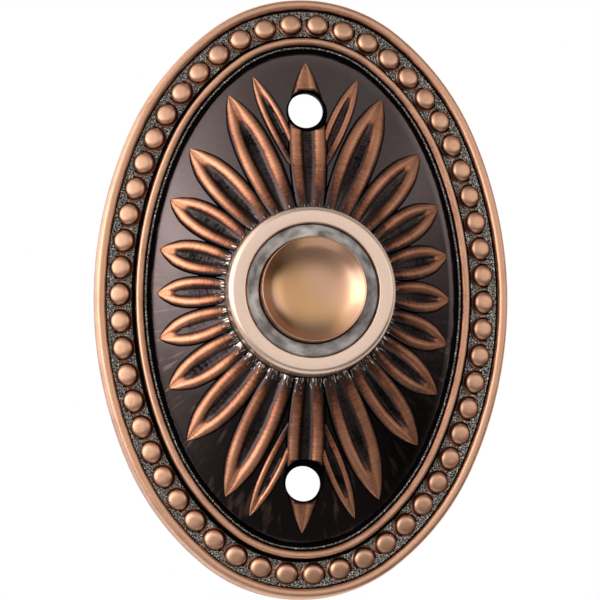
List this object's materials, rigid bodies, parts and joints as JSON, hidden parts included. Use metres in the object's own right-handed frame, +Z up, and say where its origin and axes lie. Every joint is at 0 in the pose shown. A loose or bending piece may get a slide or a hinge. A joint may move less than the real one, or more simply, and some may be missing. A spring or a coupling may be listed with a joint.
{
  "type": "doorbell push button",
  "caption": "Oval doorbell push button with a beaded border, a flower of grooved petals and a round dished button in a lit ring.",
  "frame": {"origin": "where the button's axis meets the wall plane that the plate's back rim rests on", "axes": "+Z up the plate, -Y out of the wall towards the visitor, +Y along the switch body into the wall, +X to the right of the face"},
  "size_m": [0.0492, 0.0263, 0.0714],
  "materials": {
    "antique_copper": "satin",
    "satin_copper": "satin",
    "polished_copper": "polished",
    "frosted_acrylic": "frosted",
    "black_plastic": "matte",
    "ivory_plastic": "matte",
    "brass": "satin",
    "zinc_steel": "satin",
    "spring_steel": "satin",
    "board_green": "gloss",
    "lamp_yellow": "gloss",
    "resistor_black": "matte",
    "diode_glass": "gloss"
  },
  "bodies": {
    "plate": {"faceplate": "antique_copper", "bezel_ring": "satin_copper", "light_ring": "frosted_acrylic", "switch_housing": "black_plastic", "rear_cover": "black_plastic", "circuit_board": "board_green", "resistor": "resistor_black", "diode": "diode_glass", "led_left": "lamp_yellow", "led_right": "lamp_yellow", "board_pin_left": "brass", "board_pin_right": "brass", "fixed_contact_left": "brass", "fixed_contact_right": "brass", "terminal_clamp_left": "brass", "terminal_clamp_right": "brass", "terminal_screw_left": "brass", "terminal_screw_right": "brass", "housing_screw_lower": "zinc_steel", "housing_screw_upper": "zinc_steel", "return_spring": "spring_steel"},
    "button": {"button_cap": "polished_copper", "plunger": "ivory_plastic", "plunger_clip": "spring_steel", "contact_bridge": "brass"}
  },
  "joints": [
    {"name": "button_press", "type": "slide", "parent": "plate", "child": "button", "axis": [0, 1, 0], "range_m": [0, 0.0015], "stiffness_N_per_m": 600, "springref_m": -0.0012, "deforming": ["return_spring"]}
  ]
}
